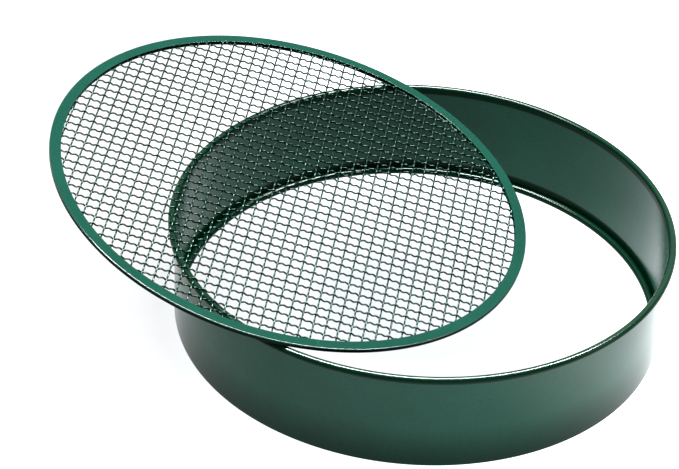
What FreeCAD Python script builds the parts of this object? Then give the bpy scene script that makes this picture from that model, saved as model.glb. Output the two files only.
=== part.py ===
import FreeCAD, Part
import math
import os

# Soil sieve: a round sheet-steel hoop, and a drop-in mesh disc that lifts out.
# Millimetres. The origin is the centre of the hoop's base, +Z up.
# The disc is drawn lifted out and leaning, its ring just over the hoop's rim.

# --- hoop: one strip of sheet rolled into a ring, with both edges curled ---
HOOP_HEIGHT = 80.0
HOOP_BORE_RADIUS = 179.4
HOOP_SHEET = 0.8
RIM_BEAD_RADIUS = 2.8
RIM_CURL_END = -130.0
FOOT_BEAD_RADIUS = 2.75
FOOT_BEAD_WALL_GAP = 0.1
FOOT_CURL_END = 30.0
FOOT_FOLD_RADIUS = 1.0

# --- wires that stiffen the two rolled edges ---
RIM_WIRE_RADIUS = 1.8
FOOT_WIRE_RADIUS = 1.6
WIRE_END_GAP_DEG = 0.2

# --- welds at the joints, by their azimuth about Z ---
WALL_SEAM_AZIMUTH = 157.5
WALL_SEAM_WIDTH = 2.4
WALL_SEAM_HEIGHT = 0.2
WALL_SEAM_FOOT_GAP = 3.0
RIM_JOINT_AZIMUTH = -65.5
RIM_JOINT_WIDTH = 2.0
RIM_JOINT_HEIGHT = 0.15
RIM_JOINT_FROM = -30.0
RIM_JOINT_TO = 150.0

# --- disc ring: a flat hem of thin sheet, folded round the mesh's edge ---
RING_RADIUS = 178.8
RING_BAND = 8.4
RING_THICKNESS = 3.4
RING_SHEET = 0.35
RING_CORNER = 0.9
RING_JOINT_AZIMUTH = -78.6
RING_JOINT_WIDTH = 1.6
RING_JOINT_HEIGHT = 0.12

# --- mesh: square weave of wires with a crimp at each crossing and two between ---
# The weft's crossing crimps are pressed down towards the hem, so that it can close flat.
MESH_WIRE = 1.2
MESH_PITCH = 8.75
MESH_TURN = -4.4
MESH_EDGE_RADIUS = 176.2
MESH_CROSSING_GAP = 0.12
WEFT_CROSSING_CRIMP = 0.90
WEFT_HEM_CRIMP = 0.66
PRESSED_FROM_RADIUS = 156.0
PRESSED_TO_RADIUS = 167.0
WEFT_MIDDLE_CRIMP = 0.41
WARP_MIDDLE_CRIMP = 0.30
WARP_OFFSET = 6.3
WEFT_OFFSET = 2.4
WIRES_PER_NODE = 2

# --- where the lifted disc is: its centre, its tilt, and the azimuth of its low side ---
DISC_CENTRE = (-97.9, 16.9, 91.6)
DISC_TILT = 12.3
DISC_LOW_AZIMUTH = -9.8

# --- derived sizes ---
HOOP_OUTER_RADIUS = HOOP_BORE_RADIUS + HOOP_SHEET
RIM_BEAD_CENTRE = (HOOP_BORE_RADIUS + RIM_BEAD_RADIUS, HOOP_HEIGHT - RIM_BEAD_RADIUS)
FOOT_BEAD_CENTRE = (
    HOOP_BORE_RADIUS - FOOT_BEAD_WALL_GAP - FOOT_BEAD_RADIUS,
    FOOT_BEAD_RADIUS,
)
RING_HALF = RING_THICKNESS / 2
RING_LIP_RADIUS = RING_RADIUS - RING_BAND
RING_HIGH_CORNER = (RING_RADIUS - RING_CORNER, RING_HALF - RING_CORNER)
RING_LOW_CORNER = (RING_RADIUS - RING_CORNER, RING_CORNER - RING_HALF)
CRIMP_STEP = MESH_PITCH / 3

Z_AXIS = FreeCAD.Vector(0, 0, 1)
ORIGIN = FreeCAD.Vector(0, 0, 0)


def section_point(x, z):
    """A point of a cross-section, drawn in the XZ plane."""
    return FreeCAD.Vector(x, 0, z)


def polar(centre, radius, degrees):
    """A point of a cross-section at an angle round a centre, 0 degrees away from the axis."""
    turn = math.radians(degrees)
    return section_point(centre[0] + radius * math.cos(turn), centre[1] + radius * math.sin(turn))


def arc(centre, radius, start, end):
    """An arc of a cross-section from one angle to another, in degrees."""
    middle = (start + end) / 2
    points = [polar(centre, radius, angle) for angle in (start, middle, end)]
    return Part.Arc(*points).toShape()


def line(start, end):
    return Part.LineSegment(start, end).toShape()


def spin(edges, azimuth=0.0, sweep=360.0):
    """The solid of a closed cross-section turned about Z, centred on an azimuth."""
    face = Part.Face(Part.Wire(Part.__sortEdges__(edges)))
    solid = face.revolve(ORIGIN, Z_AXIS, sweep)
    solid.rotate(ORIGIN, Z_AXIS, azimuth - sweep / 2)
    return solid


def band(centre, inner, outer, start, end):
    """The edges of an annular sector of a cross-section."""
    return [
        arc(centre, outer, start, end),
        line(polar(centre, outer, end), polar(centre, inner, end)),
        arc(centre, inner, end, start),
        line(polar(centre, inner, start), polar(centre, outer, start)),
    ]


def outline(corners):
    """The edges of a cross-section with straight sides."""
    points = [section_point(*corner) for corner in corners]
    return [line(points[i - 1], points[i]) for i in range(len(points))]


def degrees_for(width, radius):
    """The sweep about Z that is this wide at a radius."""
    return math.degrees(width / radius)


def hoop_wall():
    """The straight wall, from the fold at its foot to where the rim starts to curl."""
    low, high = FOOT_FOLD_RADIUS, RIM_BEAD_CENTRE[1]
    inner, outer = HOOP_BORE_RADIUS, HOOP_OUTER_RADIUS
    return spin(outline([(inner, low), (outer, low), (outer, high), (inner, high)]))


def rim_bead():
    """The wall's top edge, curled outwards round the rim wire."""
    inner = RIM_BEAD_RADIUS - HOOP_SHEET
    return spin(band(RIM_BEAD_CENTRE, inner, RIM_BEAD_RADIUS, RIM_CURL_END, 180.0))


def foot_bead():
    """The wall's bottom edge, folded inwards and curled up round the foot wire."""
    foot = FOOT_BEAD_CENTRE
    foot_inner = FOOT_BEAD_RADIUS - HOOP_SHEET
    fold = (HOOP_OUTER_RADIUS - FOOT_FOLD_RADIUS, FOOT_FOLD_RADIUS)
    fold_inner = FOOT_FOLD_RADIUS - HOOP_SHEET
    end = FOOT_CURL_END - 360.0
    edges = [
        line(polar(fold, FOOT_FOLD_RADIUS, 0.0), polar(fold, fold_inner, 0.0)),
        arc(fold, fold_inner, 0.0, -90.0),
        line(polar(fold, fold_inner, -90.0), section_point(foot[0], HOOP_SHEET)),
        arc(foot, foot_inner, -90.0, end),
        line(polar(foot, foot_inner, end), polar(foot, FOOT_BEAD_RADIUS, end)),
        arc(foot, FOOT_BEAD_RADIUS, end, -90.0),
        line(section_point(foot[0], 0.0), section_point(fold[0], 0.0)),
        arc(fold, FOOT_FOLD_RADIUS, -90.0, 0.0),
    ]
    return spin(edges)


def edge_wire(centre, radius, joint_azimuth):
    """A round wire bent into a ring, its two ends almost meeting at the joint."""
    circle = Part.Circle(section_point(*centre), FreeCAD.Vector(0, 1, 0), radius).toShape()
    return spin([circle], joint_azimuth + 180.0, 360.0 - WIRE_END_GAP_DEG)


def wall_seam_weld():
    """The low weld line up the inside of the wall, where the strip's ends meet."""
    outer = HOOP_BORE_RADIUS
    inner = outer - WALL_SEAM_HEIGHT
    low = 2 * FOOT_BEAD_RADIUS + WALL_SEAM_FOOT_GAP
    high = RIM_BEAD_CENTRE[1]
    edges = outline([(inner, low), (outer, low), (outer, high), (inner, high)])
    return spin(edges, WALL_SEAM_AZIMUTH, degrees_for(WALL_SEAM_WIDTH, outer))


def rim_joint_weld():
    """The low weld over the rim bead, where the rim wire's ends meet."""
    outer = RIM_BEAD_RADIUS + RIM_JOINT_HEIGHT
    edges = band(RIM_BEAD_CENTRE, RIM_BEAD_RADIUS, outer, RIM_JOINT_FROM, RIM_JOINT_TO)
    return spin(edges, RIM_JOINT_AZIMUTH, degrees_for(RIM_JOINT_WIDTH, RIM_BEAD_CENTRE[0]))


def hem_face(inset):
    """One face of the folded sheet's section, from the lower lip round the edge to the upper."""
    half = RING_HALF - inset
    radius = RING_CORNER - inset
    low, high = RING_LOW_CORNER, RING_HIGH_CORNER
    return [
        line(section_point(RING_LIP_RADIUS, -half), polar(low, radius, -90.0)),
        arc(low, radius, -90.0, 0.0),
        line(polar(low, radius, 0.0), polar(high, radius, 0.0)),
        arc(high, radius, 0.0, 90.0),
        line(polar(high, radius, 90.0), section_point(RING_LIP_RADIUS, half)),
    ]


def disc_ring():
    """The hem, open towards the mesh. Its mid-plane is z = 0 on the disc."""
    edges = hem_face(0.0) + hem_face(RING_SHEET)
    for side in (-1, 1):
        outside = section_point(RING_LIP_RADIUS, side * RING_HALF)
        inside = section_point(RING_LIP_RADIUS, side * (RING_HALF - RING_SHEET))
        edges.append(line(outside, inside))
    return spin(edges)


def ring_joint_weld():
    """The low weld over the hem's top and upper corner, where its two ends meet."""
    high, radius, lip = RING_HIGH_CORNER, RING_CORNER, RING_LIP_RADIUS
    raised = radius + RING_JOINT_HEIGHT
    top = RING_HALF + RING_JOINT_HEIGHT
    edges = [
        arc(high, raised, 0.0, 90.0),
        line(polar(high, raised, 90.0), section_point(lip, top)),
        line(section_point(lip, top), section_point(lip, RING_HALF)),
        line(section_point(lip, RING_HALF), polar(high, radius, 90.0)),
        arc(high, radius, 90.0, 0.0),
        line(polar(high, radius, 0.0), polar(high, raised, 0.0)),
    ]
    return spin(edges, RING_JOINT_AZIMUTH, degrees_for(RING_JOINT_WIDTH, RING_RADIUS))


def weft_crossing_crimp(radius):
    """How far the weft rises at a crossing, by how far the crossing is from the disc's centre."""
    share = (radius - PRESSED_FROM_RADIUS) / (PRESSED_TO_RADIUS - PRESSED_FROM_RADIUS)
    share = min(max(share, 0.0), 1.0)
    return WEFT_CROSSING_CRIMP + share * (WEFT_HEM_CRIMP - WEFT_CROSSING_CRIMP)


def warp_crossing_crimp(radius):
    """How far the warp dips at a crossing: the rest of what keeps the two wires apart."""
    return MESH_WIRE + MESH_CROSSING_GAP - weft_crossing_crimp(radius)


def middle_radius(middle_crimp):
    """The radius of the two crimps between crossings, which mirror each other."""
    rise = 2 * middle_crimp
    return (CRIMP_STEP**2 + rise**2) / (4 * rise)


def crossing_radius(crossing_crimp, middle_crimp):
    """The radius of the crimp at a crossing, tangent to the crimps on both its sides."""
    rise = crossing_crimp + middle_crimp
    return (CRIMP_STEP**2 + rise**2) / (2 * rise) - middle_radius(middle_crimp)


def wave(first, last, up_first, crossing_crimp_of, middle_crimp):
    """A crimped wire's centre line: one arc per crimp, crimp numbers first to last.

    Crimp 0, 3, 6 and so on are crossings. The line runs along X with its height along Z.
    """
    def crimp(number):
        """The highest or lowest point of one crimp, its arc's centre and its radius."""
        side = 1 if number % 2 == 0 else -1
        side = side if up_first else -side
        if number % 3 == 0:
            height = crossing_crimp_of(number)
            radius = crossing_radius(height, middle_crimp)
        else:
            height = middle_crimp
            radius = middle_radius(middle_crimp)
        peak = FreeCAD.Vector(number * CRIMP_STEP, 0, side * height)
        centre = peak - FreeCAD.Vector(0, 0, side * radius)
        return peak, centre, radius

    def joint(number):
        """Where one crimp's arc meets the next one's: on the line between their centres."""
        _, centre, radius = crimp(number)
        _, next_centre, next_radius = crimp(number + 1)
        return centre + (next_centre - centre) * (radius / (radius + next_radius))

    arcs = []
    for number in range(first, last + 1):
        peak = crimp(number)[0]
        arcs.append(Part.Arc(joint(number - 1), peak, joint(number)).toShape())
    return Part.Wire(arcs)


def crimped_wire(offset, along_shift, up_first, crossing_crimp, middle_crimp):
    """One wire of the mesh along X at a sideways offset, from hem to hem."""
    reach = math.sqrt(MESH_EDGE_RADIUS**2 - offset**2)
    first = math.ceil((-reach - along_shift) / CRIMP_STEP + 0.5)
    last = math.floor((reach - along_shift) / CRIMP_STEP - 0.5)

    def crossing_crimp_of(number):
        return crossing_crimp(math.hypot(along_shift + number * CRIMP_STEP, offset))

    path = wave(first, last, up_first, crossing_crimp_of, middle_crimp)
    start = path.Edges[0]
    tangent = start.tangentAt(start.FirstParameter)
    point = start.valueAt(start.FirstParameter)
    section = Part.Face(Part.Wire(Part.Circle(point, tangent, MESH_WIRE / 2).toShape()))
    solid = path.makePipe(section)
    solid.translate(FreeCAD.Vector(along_shift, offset, 0))
    return solid


def mesh_lines(own_offset):
    """The numbers and sideways offsets of the wires one way, from one side to the other."""
    limit = RING_LIP_RADIUS - MESH_WIRE
    lowest = math.ceil((-limit - own_offset) / MESH_PITCH)
    highest = math.floor((limit - own_offset) / MESH_PITCH)
    return [(number, own_offset + number * MESH_PITCH) for number in range(lowest, highest + 1)]


def weft_wires():
    """The deeply crimped wires, along the disc's X before the mesh is turned in its ring."""
    wires = []
    for number, offset in mesh_lines(WEFT_OFFSET):
        up_first = number % 2 == 0
        wire = crimped_wire(offset, WARP_OFFSET, up_first, weft_crossing_crimp, WEFT_MIDDLE_CRIMP)
        wire.rotate(ORIGIN, Z_AXIS, MESH_TURN)
        wires.append(wire)
    return wires


def warp_wires():
    """The straighter wires, across the weft. At each crossing one wire is up, the other down."""
    wires = []
    for number, offset in mesh_lines(WARP_OFFSET):
        up_first = number % 2 != 0
        wire = crimped_wire(-offset, WEFT_OFFSET, up_first, warp_crossing_crimp, WARP_MIDDLE_CRIMP)
        wire.rotate(ORIGIN, Z_AXIS, 90.0 + MESH_TURN)
        wires.append(wire)
    return wires


def grouped(name, wires):
    """The wires of one direction as nodes of a few neighbours each."""
    nodes = {}
    for first in range(0, len(wires), WIRES_PER_NODE):
        group = wires[first:first + WIRES_PER_NODE]
        node = "%s_%02d" % (name, first // WIRES_PER_NODE + 1)
        nodes[node] = Part.Compound(group)
    return nodes


def lift_out(shape):
    """Moves a piece of the disc from its own flat frame to the disc's place."""
    low = math.radians(DISC_LOW_AZIMUTH)
    axis = FreeCAD.Vector(-math.sin(low), math.cos(low), 0)
    turn = FreeCAD.Rotation(axis, DISC_TILT)
    placed = shape.copy()
    placed.transformShape(FreeCAD.Placement(FreeCAD.Vector(*DISC_CENTRE), turn).toMatrix())
    return placed


hoop_nodes = {
    "hoop_wall": hoop_wall(),
    "rim_bead": rim_bead(),
    "foot_bead": foot_bead(),
    "rim_wire": edge_wire(RIM_BEAD_CENTRE, RIM_WIRE_RADIUS, RIM_JOINT_AZIMUTH),
    "foot_wire": edge_wire(FOOT_BEAD_CENTRE, FOOT_WIRE_RADIUS, WALL_SEAM_AZIMUTH),
    "wall_seam_weld": wall_seam_weld(),
    "rim_joint_weld": rim_joint_weld(),
}

disc_nodes = {
    "disc_ring": disc_ring(),
    "ring_joint_weld": ring_joint_weld(),
}
disc_nodes.update(grouped("warp_wires", warp_wires()))
disc_nodes.update(grouped("weft_wires", weft_wires()))

os.makedirs("parts", exist_ok=True)
for node, shape in hoop_nodes.items():
    shape.exportStep("parts/%s.step" % node)
for node, shape in disc_nodes.items():
    lift_out(shape).exportStep("parts/%s.step" % node)
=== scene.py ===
"""Soil sieve: a rolled steel hoop and a woven wire disc lifted out of it. Metres, Z up."""

import math

import bpy
from mathutils import Matrix, Vector


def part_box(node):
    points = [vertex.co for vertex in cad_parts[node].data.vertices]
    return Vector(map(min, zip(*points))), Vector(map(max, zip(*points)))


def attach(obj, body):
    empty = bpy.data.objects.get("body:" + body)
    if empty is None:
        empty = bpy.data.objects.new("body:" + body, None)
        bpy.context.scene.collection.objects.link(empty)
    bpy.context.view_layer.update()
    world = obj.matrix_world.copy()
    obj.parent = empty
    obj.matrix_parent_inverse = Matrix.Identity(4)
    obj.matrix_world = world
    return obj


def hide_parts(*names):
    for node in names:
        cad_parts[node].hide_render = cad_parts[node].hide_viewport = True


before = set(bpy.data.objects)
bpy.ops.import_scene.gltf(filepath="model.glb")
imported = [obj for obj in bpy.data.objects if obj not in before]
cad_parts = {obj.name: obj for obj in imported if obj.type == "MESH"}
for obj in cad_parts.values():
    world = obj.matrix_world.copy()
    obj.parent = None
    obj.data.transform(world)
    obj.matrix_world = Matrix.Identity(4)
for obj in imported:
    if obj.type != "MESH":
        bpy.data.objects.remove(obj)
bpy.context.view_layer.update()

MM = 0.001

# --- hoop section, as the CAD model has it ---
HOOP_HEIGHT = 80.0 * MM
RIM_RADIUS = 185.0 * MM
SHEET = 0.8 * MM
RIM_BEAD = 2.8 * MM
FOOT_BEAD = 2.75 * MM
FOOT_WALL_GAP = 0.1 * MM
FOOT_FOLD = 1.0 * MM
BORE = RIM_RADIUS - 2 * RIM_BEAD
RIM_CURL_END = -130.0
FOOT_CURL_END = -330.0
# How far the painted shade reaches above the foot bead inside, and up the wall's outside as a share
# of its height.
SHADE_ABOVE_BEAD = 5.0 * MM
SHADE_OUTSIDE_SHARE = 0.42
UNEVENNESS = 0.10 * MM

# --- disc: its own flat frame is centred in the ring, and placed as the CAD model has it ---
RING_LOW, RING_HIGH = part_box("disc_ring")
DISC_CENTRE = (Vector(RING_LOW) + Vector(RING_HIGH)) / 2
DISC_TILT = math.radians(12.3)
DISC_LOW_AZIMUTH = math.radians(-9.8)
RING_RADIUS = 178.79 * MM
RING_BAND = 8.4 * MM
RING_HALF = 1.69 * MM
RING_SHEET = 0.35 * MM
RING_CORNER = 0.9 * MM

# --- mesh: a crimp pair is the wave's first and third harmonic ---
# The wires are eight-sided, so their corners stand a little outside the drawn wire.
WIRE_DRAWN = 1.2 * MM
WIRE_RADIUS = 0.65 * MM
PITCH = 8.75 * MM
MESH_TURN = math.radians(-4.4)
MESH_EDGE = 176.2 * MM
WARP_OFFSET = 6.3 * MM
WEFT_OFFSET = 2.4 * MM
WEFT_CRIMPS = (0.33 * MM, 0.57 * MM)
WEFT_HEM_CRIMPS = (0.17 * MM, 0.49 * MM)
WARP_CRIMPS = (0.08 * MM, 0.34 * MM)
WARP_HEM_CRIMPS = (0.24 * MM, 0.42 * MM)
PRESSED_FROM = 156.0 * MM
PRESSED_TO = 167.0 * MM
WIRE_STEP = PITCH / 18
WIRE_SIDES = 8
WIRES_PER_PIECE = 2

# --- how finely the hoop and the ring are turned ---
TURNED_SEGMENTS = 360

# --- table: where its glow changes along X, and how far out from the hoop's axis ---
FLOOR_HALF = 4.0
GLOW_LEFT = -0.30
GLOW_RIGHT = 0.45
SHADE_REACH = 0.4

# --- camera ---
CAMERA_DISTANCE = 1.8642
CAMERA_ELEVATION = 0.6512
CAMERA_ROLL = 0.0503
CAMERA_LENS = 132.3
CAMERA_TARGET = Vector((-0.060, 0.0, 0.061))


def disc_matrix():
    """From the disc's flat frame to where the disc is."""
    axis = Vector((-math.sin(DISC_LOW_AZIMUTH), math.cos(DISC_LOW_AZIMUTH), 0.0))
    return Matrix.Translation(DISC_CENTRE) @ Matrix.Rotation(DISC_TILT, 4, axis)


# ---------------------------------------------------------------- materials

def nodes_of(name):
    material = bpy.data.materials.new(name)
    material.use_nodes = True
    tree = material.node_tree
    return material, tree, tree.nodes["Principled BSDF"]


def add(tree, kind, **values):
    """A node with its properties and inputs set: lower-case names are properties."""
    node = tree.nodes.new(kind)
    for key, value in values.items():
        if key[0].islower():
            setattr(node, key, value)
        else:
            node.inputs[key.replace("_", " ")].default_value = value
    return node


def ramp(tree, source, stops):
    """A colour ramp on a socket, from (position, colour) pairs."""
    node = tree.nodes.new("ShaderNodeValToRGB")
    elements = node.color_ramp.elements
    while len(elements) < len(stops):
        elements.new(0.5)
    for element, (position, colour) in zip(elements, stops):
        element.position = position
        element.color = colour if len(colour) == 4 else (*colour, 1.0)
    tree.links.new(source, node.inputs["Fac"])
    return node


def grey(value):
    return (value, value, value, 1.0)


def mix_colour(tree, blend, factor, first, second):
    """Mixes two colours; each argument is a socket or a plain value."""
    node = tree.nodes.new("ShaderNodeMix")
    node.data_type = "RGBA"
    node.blend_type = blend
    pairs = zip((node.inputs[0], node.inputs[6], node.inputs[7]), (factor, first, second))
    for socket, value in pairs:
        if isinstance(value, bpy.types.NodeSocket):
            tree.links.new(value, socket)
        else:
            socket.default_value = value
    return node.outputs[2]


def map_range(tree, source, start, end):
    """A socket's value as 0 at start and 1 at end."""
    node = add(tree, "ShaderNodeMapRange")
    node.inputs["From Min"].default_value = start
    node.inputs["From Max"].default_value = end
    tree.links.new(source, node.inputs["Value"])
    return node.outputs["Result"]


def hoop_painted_shade(tree, at):
    """Where shade is painted on the hoop: on its rolled edges, in the corner above the foot
    bead, and low on the wall's outside, where the wall reflects the shaded table near its foot."""
    split = add(tree, "ShaderNodeSeparateXYZ")
    tree.links.new(at, split.inputs["Vector"])
    height = map_range(tree, split.outputs["Z"], 0.0, HOOP_HEIGHT)
    flat = add(tree, "ShaderNodeCombineXYZ")
    tree.links.new(split.outputs["X"], flat.inputs["X"])
    tree.links.new(split.outputs["Y"], flat.inputs["Y"])
    radius = add(tree, "ShaderNodeVectorMath", operation="LENGTH")
    tree.links.new(flat.outputs["Vector"], radius.inputs[0])
    outer = map_range(tree, radius.outputs["Value"], BORE + SHEET / 4, BORE + 3 * SHEET / 4)
    # Painted shade: the rolled edges, the inside corner above the foot bead, and the outside,
    # darkest at its foot.
    corner = (2 * FOOT_BEAD + SHADE_ABOVE_BEAD) / HOOP_HEIGHT
    rim = 1.0 - 2 * RIM_BEAD / HOOP_HEIGHT
    rim_stops = [(rim - 0.01, grey(0.0)), (rim, grey(1.0))]
    inside_stops = [(corner, grey(1.0)), (corner + 0.01, grey(0.0))]
    outside_stops = [(0.0, grey(0.7)), (SHADE_OUTSIDE_SHARE, grey(0.0))]
    inside = ramp(tree, height, inside_stops + rim_stops)
    outside = ramp(tree, height, outside_stops + rim_stops)
    return mix_colour(tree, "MIX", outer, inside.outputs["Color"], outside.outputs["Color"])


def edge_shade(tree, at):
    """Where a ring's paint is in shade: on the faces that don't look up."""
    shape = add(tree, "ShaderNodeNewGeometry")
    facing = add(tree, "ShaderNodeSeparateXYZ")
    tree.links.new(shape.outputs["Normal"], facing.inputs["Vector"])
    return ramp(tree, facing.outputs["Z"], [(0.3, grey(1.0)), (0.8, grey(0.0))]).outputs["Color"]


def enamel(name, deep, light, roughness, gloss_stops, peel, painted_shade_at=None, sheen=(1.0, 1.0, 1.0)):
    """Glossy enamel on steel: cloudy colour, orange peel, specks and paler worn edges.

    gloss_stops gives the gloss by how far a face's normal rises, as (rise, gloss) pairs. A face
    is upright up to the first stop, and no longer from the second. The shade mask after peel,
    called with (tree, at), gives where shade is painted in: there the colour is painted darker,
    upright faces darker still, and their gloss is turned down as a painted dimming of their
    reflection.
    """
    material, tree, shader = nodes_of(name)
    link = tree.links.new
    place = add(tree, "ShaderNodeTexCoord")
    at = place.outputs["Object"]

    cloud = add(tree, "ShaderNodeTexNoise", Scale=14.0, Detail=4.0, Roughness=0.55)
    grain = add(tree, "ShaderNodeTexNoise", Scale=520.0, Detail=3.0, Roughness=0.6)
    orange = add(tree, "ShaderNodeTexNoise", Scale=1500.0, Detail=2.0, Roughness=0.5)
    specks = add(tree, "ShaderNodeTexVoronoi", Scale=190.0, Randomness=1.0)
    for texture in (cloud, grain, orange, specks):
        link(at, texture.inputs["Vector"])

    base = ramp(tree, cloud.outputs["Fac"], [(0.32, deep), (0.68, light)]).outputs["Color"]
    fine = ramp(tree, grain.outputs["Fac"], [(0.3, grey(0.86)), (0.7, grey(1.1))]).outputs["Color"]
    base = mix_colour(tree, "MULTIPLY", 1.0, base, fine)
    shape = add(tree, "ShaderNodeNewGeometry")
    worn = ramp(tree, shape.outputs["Pointiness"], [(0.53, grey(0.0)), (0.60, grey(0.35))])
    pale = tuple(min(1.0, 1.9 * channel + 0.01) for channel in light)
    base = mix_colour(tree, "MIX", worn.outputs["Color"], base, (*pale, 1.0))
    speck = ramp(tree, specks.outputs["Distance"], [(0.035, grey(0.3)), (0.06, grey(0.0))])
    base = mix_colour(tree, "MIX", speck.outputs["Color"], base, (*pale, 1.0))
    facing = add(tree, "ShaderNodeSeparateXYZ")
    link(shape.outputs["Normal"], facing.inputs["Vector"])
    rise = facing.outputs["Z"]
    gloss = ramp(tree, rise, [(stop, grey(value)) for stop, value in gloss_stops]).outputs["Color"]
    if painted_shade_at:
        painted_shade_amount = painted_shade_at(tree, at)
        upright = ramp(tree, rise, [(gloss_stops[0][0], grey(1.0)), (gloss_stops[1][0], grey(0.0))])
        painted_shade_upright = mix_colour(tree, "MULTIPLY", 1.0, painted_shade_amount, upright.outputs["Color"])
        # Painted shade: darker colour where the mask is, darker again on upright faces, whose gloss
        # is turned down too.
        base = mix_colour(tree, "MULTIPLY", painted_shade_amount, base, (0.3, 0.48, 0.36, 1.0))
        base = mix_colour(tree, "MULTIPLY", painted_shade_upright, base, grey(0.5))
        gloss = mix_colour(tree, "MULTIPLY", painted_shade_upright, gloss, grey(0.3))
    link(gloss, shader.inputs["Specular IOR Level"])
    shader.inputs["Specular Tint"].default_value = (*sheen, 1.0)
    link(base, shader.inputs["Base Color"])

    rough = add(tree, "ShaderNodeMapRange")
    rough.inputs["To Min"].default_value = roughness - 0.05
    rough.inputs["To Max"].default_value = roughness + 0.08
    link(cloud.outputs["Fac"], rough.inputs["Value"])
    link(rough.outputs["Result"], shader.inputs["Roughness"])

    bump = add(tree, "ShaderNodeBump", Strength=peel, Distance=0.00003)
    link(orange.outputs["Fac"], bump.inputs["Height"])
    link(bump.outputs["Normal"], shader.inputs["Normal"])
    return material


def bare_steel(name):
    """Drawn steel wire with fine marks round it."""
    material, tree, shader = nodes_of(name)
    place = add(tree, "ShaderNodeTexCoord")
    marks = add(tree, "ShaderNodeTexNoise", Scale=900.0, Detail=4.0)
    tree.links.new(place.outputs["Object"], marks.inputs["Vector"])
    colour = ramp(tree, marks.outputs["Fac"], [(0.3, (0.32, 0.32, 0.33)), (0.7, (0.6, 0.6, 0.61))])
    tree.links.new(colour.outputs["Color"], shader.inputs["Base Color"])
    rough = ramp(tree, marks.outputs["Fac"], [(0.3, grey(0.28)), (0.7, grey(0.45))])
    tree.links.new(rough.outputs["Color"], shader.inputs["Roughness"])
    shader.inputs["Metallic"].default_value = 1.0
    return material


def floor_painted_glow(name):
    """A white table top with a faint tooth that glows, its glow painted light: brighter towards the
    window side, and painted shadow, duller close round the hoop and inside it, where the hoop
    shades the table."""
    material, tree, shader = nodes_of(name)
    link = tree.links.new
    place = add(tree, "ShaderNodeTexCoord")
    at = place.outputs["Object"]
    tooth = add(tree, "ShaderNodeTexNoise", Scale=60.0, Detail=5.0)
    link(at, tooth.inputs["Vector"])
    colour = ramp(tree, tooth.outputs["Fac"], [(0.3, grey(0.055)), (0.7, grey(0.065))])
    link(colour.outputs["Color"], shader.inputs["Base Color"])
    shader.inputs["Roughness"].default_value = 0.9
    shader.inputs["Specular IOR Level"].default_value = 0.1

    across = add(tree, "ShaderNodeSeparateXYZ")
    link(at, across.inputs["Vector"])
    side = map_range(tree, across.outputs["X"], GLOW_LEFT, GLOW_RIGHT)
    # Painted light: the glow rises towards the window side.
    window = ramp(
        tree,
        side,
        [
            (0.07, (0.205, 0.207, 0.210)),
            (0.19, (0.300, 0.307, 0.314)),
            (0.29, (0.43, 0.455, 0.48)),
            (0.53, (0.51, 0.54, 0.57)),
            (0.67, (0.94, 0.98, 1.0)),
            (0.76, (0.66, 0.68, 0.70)),
            (1.0, (0.60, 0.62, 0.64)),
        ],
    )

    # Painted shadow: the glow is dimmed close round the hoop and inside it.
    centre_distance = add(tree, "ShaderNodeVectorMath", operation="LENGTH")
    link(at, centre_distance.inputs[0])
    outwards = map_range(tree, centre_distance.outputs["Value"], 0.0, SHADE_REACH)
    painted_shadow_falloff = ramp(
        tree,
        outwards,
        [
            (0.15, grey(0.34)),
            (0.38, grey(0.50)),
            (0.44, grey(0.61)),
            (0.48, grey(0.61)),
            (0.66, grey(0.92)),
        ],
    )
    glow = mix_colour(tree, "MULTIPLY", 1.0, window.outputs["Color"], painted_shadow_falloff.outputs["Color"])
    # Painted light: the table glows, though it is no lamp.
    link(glow, shader.inputs["Emission Color"])
    shader.inputs["Emission Strength"].default_value = 5.0
    return material


# ---------------------------------------------------------------- mesh building

def new_piece(name, vertices, faces, material, sharp_angle):
    mesh = bpy.data.meshes.new(name)
    mesh.from_pydata(vertices, [], faces)
    mesh.validate()
    mesh.shade_smooth()
    mesh.set_sharp_from_angle(angle=math.radians(sharp_angle))
    mesh.materials.append(material)
    piece = bpy.data.objects.new(name, mesh)
    bpy.context.scene.collection.objects.link(piece)
    return piece


def arc(centre, radius, start, end, count):
    """Points round an arc of a section, both ends included; angles in degrees."""
    points = []
    for i in range(count + 1):
        turn = math.radians(start + (end - start) * i / count)
        points.append((centre[0] + radius * math.cos(turn), centre[1] + radius * math.sin(turn)))
    return points


def straight(start, end, count):
    """Points between two ends of a straight stretch of a section, ends left out."""
    return [
        (start[0] + (end[0] - start[0]) * i / count, start[1] + (end[1] - start[1]) * i / count)
        for i in range(1, count)
    ]


def lathe(name, section, material, wobble=None):
    """A closed section of (radius, height) turned about Z. wobble(azimuth, r, z) moves a point."""
    count = len(section)
    vertices = []
    for k in range(TURNED_SEGMENTS):
        azimuth = 2 * math.pi * k / TURNED_SEGMENTS
        for r, z in section:
            if wobble:
                r, z = wobble(azimuth, r, z)
            vertices.append((r * math.cos(azimuth), r * math.sin(azimuth), z))
    faces = []
    for k in range(TURNED_SEGMENTS):
        this, after = k * count, (k + 1) % TURNED_SEGMENTS * count
        for i in range(count):
            j = (i + 1) % count
            faces.append((this + i, after + i, after + j, this + j))
    return new_piece(name, vertices, faces, material, 50.0)


def tube_rings(path, radius, sides, normal):
    """Rings of points round a path that lies in the plane across normal."""
    rings = []
    for i, point in enumerate(path):
        before = path[max(i - 1, 0)]
        after = path[min(i + 1, len(path) - 1)]
        along = (after - before).normalized()
        across = along.cross(normal).normalized()
        up = across.cross(along)
        ring = []
        for k in range(sides):
            turn = 2 * math.pi * (k + 0.5) / sides
            ring.append(point + (across * math.cos(turn) + up * math.sin(turn)) * radius)
        rings.append(ring)
    return rings


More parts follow.
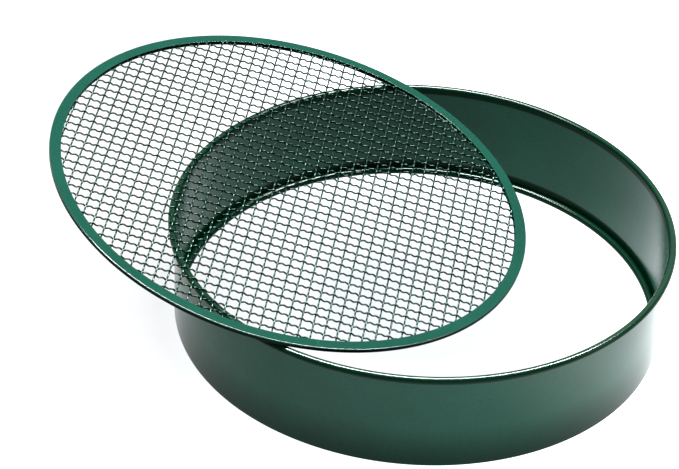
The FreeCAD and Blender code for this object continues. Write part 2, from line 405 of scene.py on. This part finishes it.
def add_tube(vertices, faces, rings):
    """Joins rings into a closed tube with flat ends, and adds it to the lists."""
    start = len(vertices)
    sides = len(rings[0])
    for ring in rings:
        vertices.extend(tuple(point) for point in ring)
    for i in range(len(rings) - 1):
        for k in range(sides):
            n = (k + 1) % sides
            a, b = start + i * sides, start + (i + 1) * sides
            faces.append((a + k, a + n, b + n, b + k))
    last = start + (len(rings) - 1) * sides
    faces.append(tuple(start + k for k in reversed(range(sides))))
    faces.append(tuple(last + k for k in range(sides)))


# ---------------------------------------------------------------- hoop

def hoop_section():
    """The rolled sheet's outline, from the rim curl's outside, down the bore and up the outside."""
    rim = (RIM_RADIUS - RIM_BEAD, HOOP_HEIGHT - RIM_BEAD)
    foot = (BORE - FOOT_WALL_GAP - FOOT_BEAD, FOOT_BEAD)
    fold = (BORE + SHEET - FOOT_FOLD, FOOT_FOLD)
    outside = BORE + SHEET
    points = arc(rim, RIM_BEAD, RIM_CURL_END, 180.0, 40)
    points += straight((BORE, rim[1]), (BORE, fold[1]), 24)
    points += arc(fold, FOOT_FOLD - SHEET, 0.0, -90.0, 4)
    points += arc(foot, FOOT_BEAD - SHEET, -90.0, FOOT_CURL_END, 24)
    points += arc(foot, FOOT_BEAD, FOOT_CURL_END, -90.0, 32)
    points += arc(fold, FOOT_FOLD, -90.0, 0.0, 8)
    points += straight((outside, fold[1]), (outside, rim[1]), 24)
    points += arc(rim, RIM_BEAD - SHEET, 180.0, RIM_CURL_END, 28)
    return points


def hoop_wobble(azimuth, r, z):
    """The rolled hoop is very slightly uneven, and never larger than drawn."""
    wave = 0.5 + 0.25 * math.sin(3 * azimuth + 0.7) + 0.25 * math.sin(7 * azimuth + 2.1)
    return r - UNEVENNESS * wave, z


def make_hoop(material):
    shell = lathe("hoop_shell", hoop_section(), material, hoop_wobble)
    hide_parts("hoop_wall", "rim_bead", "foot_bead")
    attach(shell, "hoop")


# ---------------------------------------------------------------- disc

def ring_section():
    """The hem's outline: flat above and below, tight corners at its edge, open inwards."""
    lip = RING_RADIUS - RING_BAND
    lip_round = RING_SHEET / 2
    middle = RING_HALF - lip_round
    inside = RING_HALF - RING_SHEET
    high = (RING_RADIUS - RING_CORNER, RING_HALF - RING_CORNER)
    low = (high[0], -high[1])
    points = arc(low, RING_CORNER, -90.0, 0.0, 10)
    points += arc(high, RING_CORNER, 0.0, 90.0, 10)
    points += straight((high[0], RING_HALF), (lip + lip_round, RING_HALF), 6)
    points += arc((lip + lip_round, middle), lip_round, 90.0, 270.0, 8)
    points += straight((lip + lip_round, inside), (high[0], inside), 6)
    points += arc(high, RING_CORNER - RING_SHEET, 90.0, 0.0, 6)
    points += arc(low, RING_CORNER - RING_SHEET, 0.0, -90.0, 6)
    points += straight((low[0], -inside), (lip + lip_round, -inside), 6)
    points += arc((lip + lip_round, -middle), lip_round, 90.0, 270.0, 8)
    points += straight((lip + lip_round, -RING_HALF), (low[0], -RING_HALF), 6)
    return points


def make_ring(material):
    ring = lathe("mesh_ring", ring_section(), material)
    ring.data.transform(disc_matrix())
    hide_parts("disc_ring")
    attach(ring, "mesh_disc")


def pressed(radius):
    """How far a crimp is pressed down by the hem: 0 in the middle of the mesh, 1 at the hem."""
    share = (radius - PRESSED_FROM) / (PRESSED_TO - PRESSED_FROM)
    return min(max(share, 0.0), 1.0)


def wire_path(offset, own_parity, cross_offset, crimps, hem_crimps):
    """The middle line of one wire along X, hem to hem: up and down at alternate crossings."""
    reach = math.sqrt(MESH_EDGE**2 - offset**2)
    count = int(2 * reach / WIRE_STEP)
    path = []
    for i in range(count + 1):
        x = -reach + 2 * reach * i / count
        share = pressed(math.hypot(x, offset))
        first, third = (a + (b - a) * share for a, b in zip(crimps, hem_crimps))
        phase = math.pi * (x - cross_offset) / PITCH
        height = first * math.cos(phase) + third * math.cos(3 * phase)
        path.append(Vector((x, offset, own_parity * height)))
    return path


def make_wires(kind, own_offset, cross_offset, crimps, hem_crimps, material):
    """Every wire one way, two neighbours to a piece, in the order of the CAD nodes."""
    across = kind == "warp"
    limit = RING_RADIUS - RING_BAND - WIRE_DRAWN
    lowest = math.ceil((-limit - own_offset) / PITCH)
    highest = math.floor((limit - own_offset) / PITCH)
    turn = Matrix.Rotation(MESH_TURN + (math.pi / 2 if across else 0.0), 4, "Z")
    place = disc_matrix() @ turn
    normal = place.to_3x3() @ Vector((0.0, 0.0, 1.0))
    numbers = list(range(lowest, highest + 1))
    for first in range(0, len(numbers), WIRES_PER_PIECE):
        vertices, faces = [], []
        for number in numbers[first:first + WIRES_PER_PIECE]:
            offset = own_offset + number * PITCH
            offset = -offset if across else offset
            parity = 1 if (number % 2 == 0) != across else -1
            path = wire_path(offset, parity, cross_offset, crimps, hem_crimps)
            path = [place @ point for point in path]
            add_tube(vertices, faces, tube_rings(path, WIRE_RADIUS, WIRE_SIDES, normal))
        count = first // WIRES_PER_PIECE + 1
        piece = new_piece("%s_pair_%02d" % (kind, count), vertices, faces, material, 60.0)
        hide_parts("%s_wires_%02d" % (kind, count))
        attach(piece, "mesh_disc")


# ---------------------------------------------------------------- stage

def area_light(name, place, target, size, size_y, watts):
    data = bpy.data.lights.new(name, "AREA")
    data.shape = "RECTANGLE"
    data.size = size
    data.size_y = size_y
    data.energy = watts
    light = bpy.data.objects.new(name, data)
    bpy.context.scene.collection.objects.link(light)
    light.location = place
    light.rotation_euler = (Vector(target) - Vector(place)).to_track_quat("-Z", "Y").to_euler()


def make_world():
    """A soft grey room, paler towards the horizon."""
    world = bpy.data.worlds.new("studio")
    world.use_nodes = True
    tree = world.node_tree
    place = add(tree, "ShaderNodeTexCoord")
    height = add(tree, "ShaderNodeSeparateXYZ")
    tree.links.new(place.outputs["Generated"], height.inputs["Vector"])
    sky = ramp(tree, height.outputs["Z"], [(0.09, grey(0.95)), (0.15, grey(0.25))])
    tree.links.new(sky.outputs["Color"], tree.nodes["Background"].inputs["Color"])
    bpy.context.scene.world = world


def make_stage():
    half = FLOOR_HALF
    corners = [(-half, -half, 0.0), (half, -half, 0.0), (half, half, 0.0), (-half, half, 0.0)]
    floor = new_piece("floor", corners, [(0, 1, 2, 3)], floor_painted_glow("floor_painted_glow"), 30.0)
    make_world()
    area_light("overhead", (-0.05, 0.25, 1.7), (0.0, 0.0, 0.0), 2.4, 0.22, 140.0)
    area_light("back", (0.0, 2.2, 1.7), (0.0, 0.0, 0.0), 3.6, 1.2, 1.5)
    area_light("right", (1.7, -0.3, 0.8), (0.0, 0.0, 0.0), 0.6, 0.6, 4.0)


def make_camera():
    """From the front and above, with a long lens and a small roll."""
    low, high = math.cos(CAMERA_ELEVATION), math.sin(CAMERA_ELEVATION)
    place = Vector((0.0, -CAMERA_DISTANCE * low, CAMERA_DISTANCE * high))
    ahead = (CAMERA_TARGET - place).normalized()
    right = ahead.cross(Vector((0.0, 0.0, 1.0))).normalized()
    up = right.cross(ahead)
    cos_roll, sin_roll = math.cos(CAMERA_ROLL), math.sin(CAMERA_ROLL)
    rolled_right = right * cos_roll + up * sin_roll
    rolled_up = up * cos_roll - right * sin_roll
    data = bpy.data.cameras.new("camera")
    data.sensor_fit = "HORIZONTAL"
    data.sensor_width = 36.0
    data.lens = CAMERA_LENS
    data.clip_end = 50.0
    camera = bpy.data.objects.new("camera", data)
    bpy.context.scene.collection.objects.link(camera)
    turn = Matrix((rolled_right, rolled_up, -ahead)).transposed().to_4x4()
    camera.matrix_world = Matrix.Translation(place) @ turn
    bpy.context.scene.camera = camera
    bpy.context.scene.view_settings.view_transform = "Standard"


def finish_cad_nodes(hoop_material, ring_material, wire_material):
    """Materials of the CAD nodes that stay."""
    chosen = {
        "wall_seam_weld": hoop_material,
        "rim_joint_weld": hoop_material,
        "ring_joint_weld": ring_material,
        "rim_wire": wire_material,
        "foot_wire": wire_material,
    }
    for node, material in chosen.items():
        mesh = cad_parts[node].data
        mesh.materials.clear()
        mesh.materials.append(material)


hoop_enamel = enamel(
    "hoop_enamel_paint", (0.0012, 0.038, 0.022), (0.0018, 0.049, 0.029), 0.16,
    [(0.5, 0.15), (0.84, 0.2), (0.90, 0.9)], 0.25, hoop_painted_shade,
)
ring_enamel = enamel(
    "ring_enamel_paint", (0.0012, 0.034, 0.022), (0.0016, 0.040, 0.026), 0.18,
    [(0.2, 0.05), (0.5, 1.0), (0.93, 1.0), (0.965, 0.35)], 0.25, edge_shade,
)
mesh_enamel = enamel(
    "mesh_enamel_paint", (0.0004, 0.004, 0.003), (0.0006, 0.006, 0.004), 0.22,
    [(0.80, 0.0), (0.90, 1.0)], 0.1, sheen=(0.55, 1.0, 0.8),
)
make_hoop(hoop_enamel)
make_ring(ring_enamel)
make_wires("warp", WARP_OFFSET, WEFT_OFFSET, WARP_CRIMPS, WARP_HEM_CRIMPS, mesh_enamel)
make_wires("weft", WEFT_OFFSET, WARP_OFFSET, WEFT_CRIMPS, WEFT_HEM_CRIMPS, mesh_enamel)
finish_cad_nodes(hoop_enamel, ring_enamel, bare_steel("bare_wire_steel"))
make_stage()
make_camera()
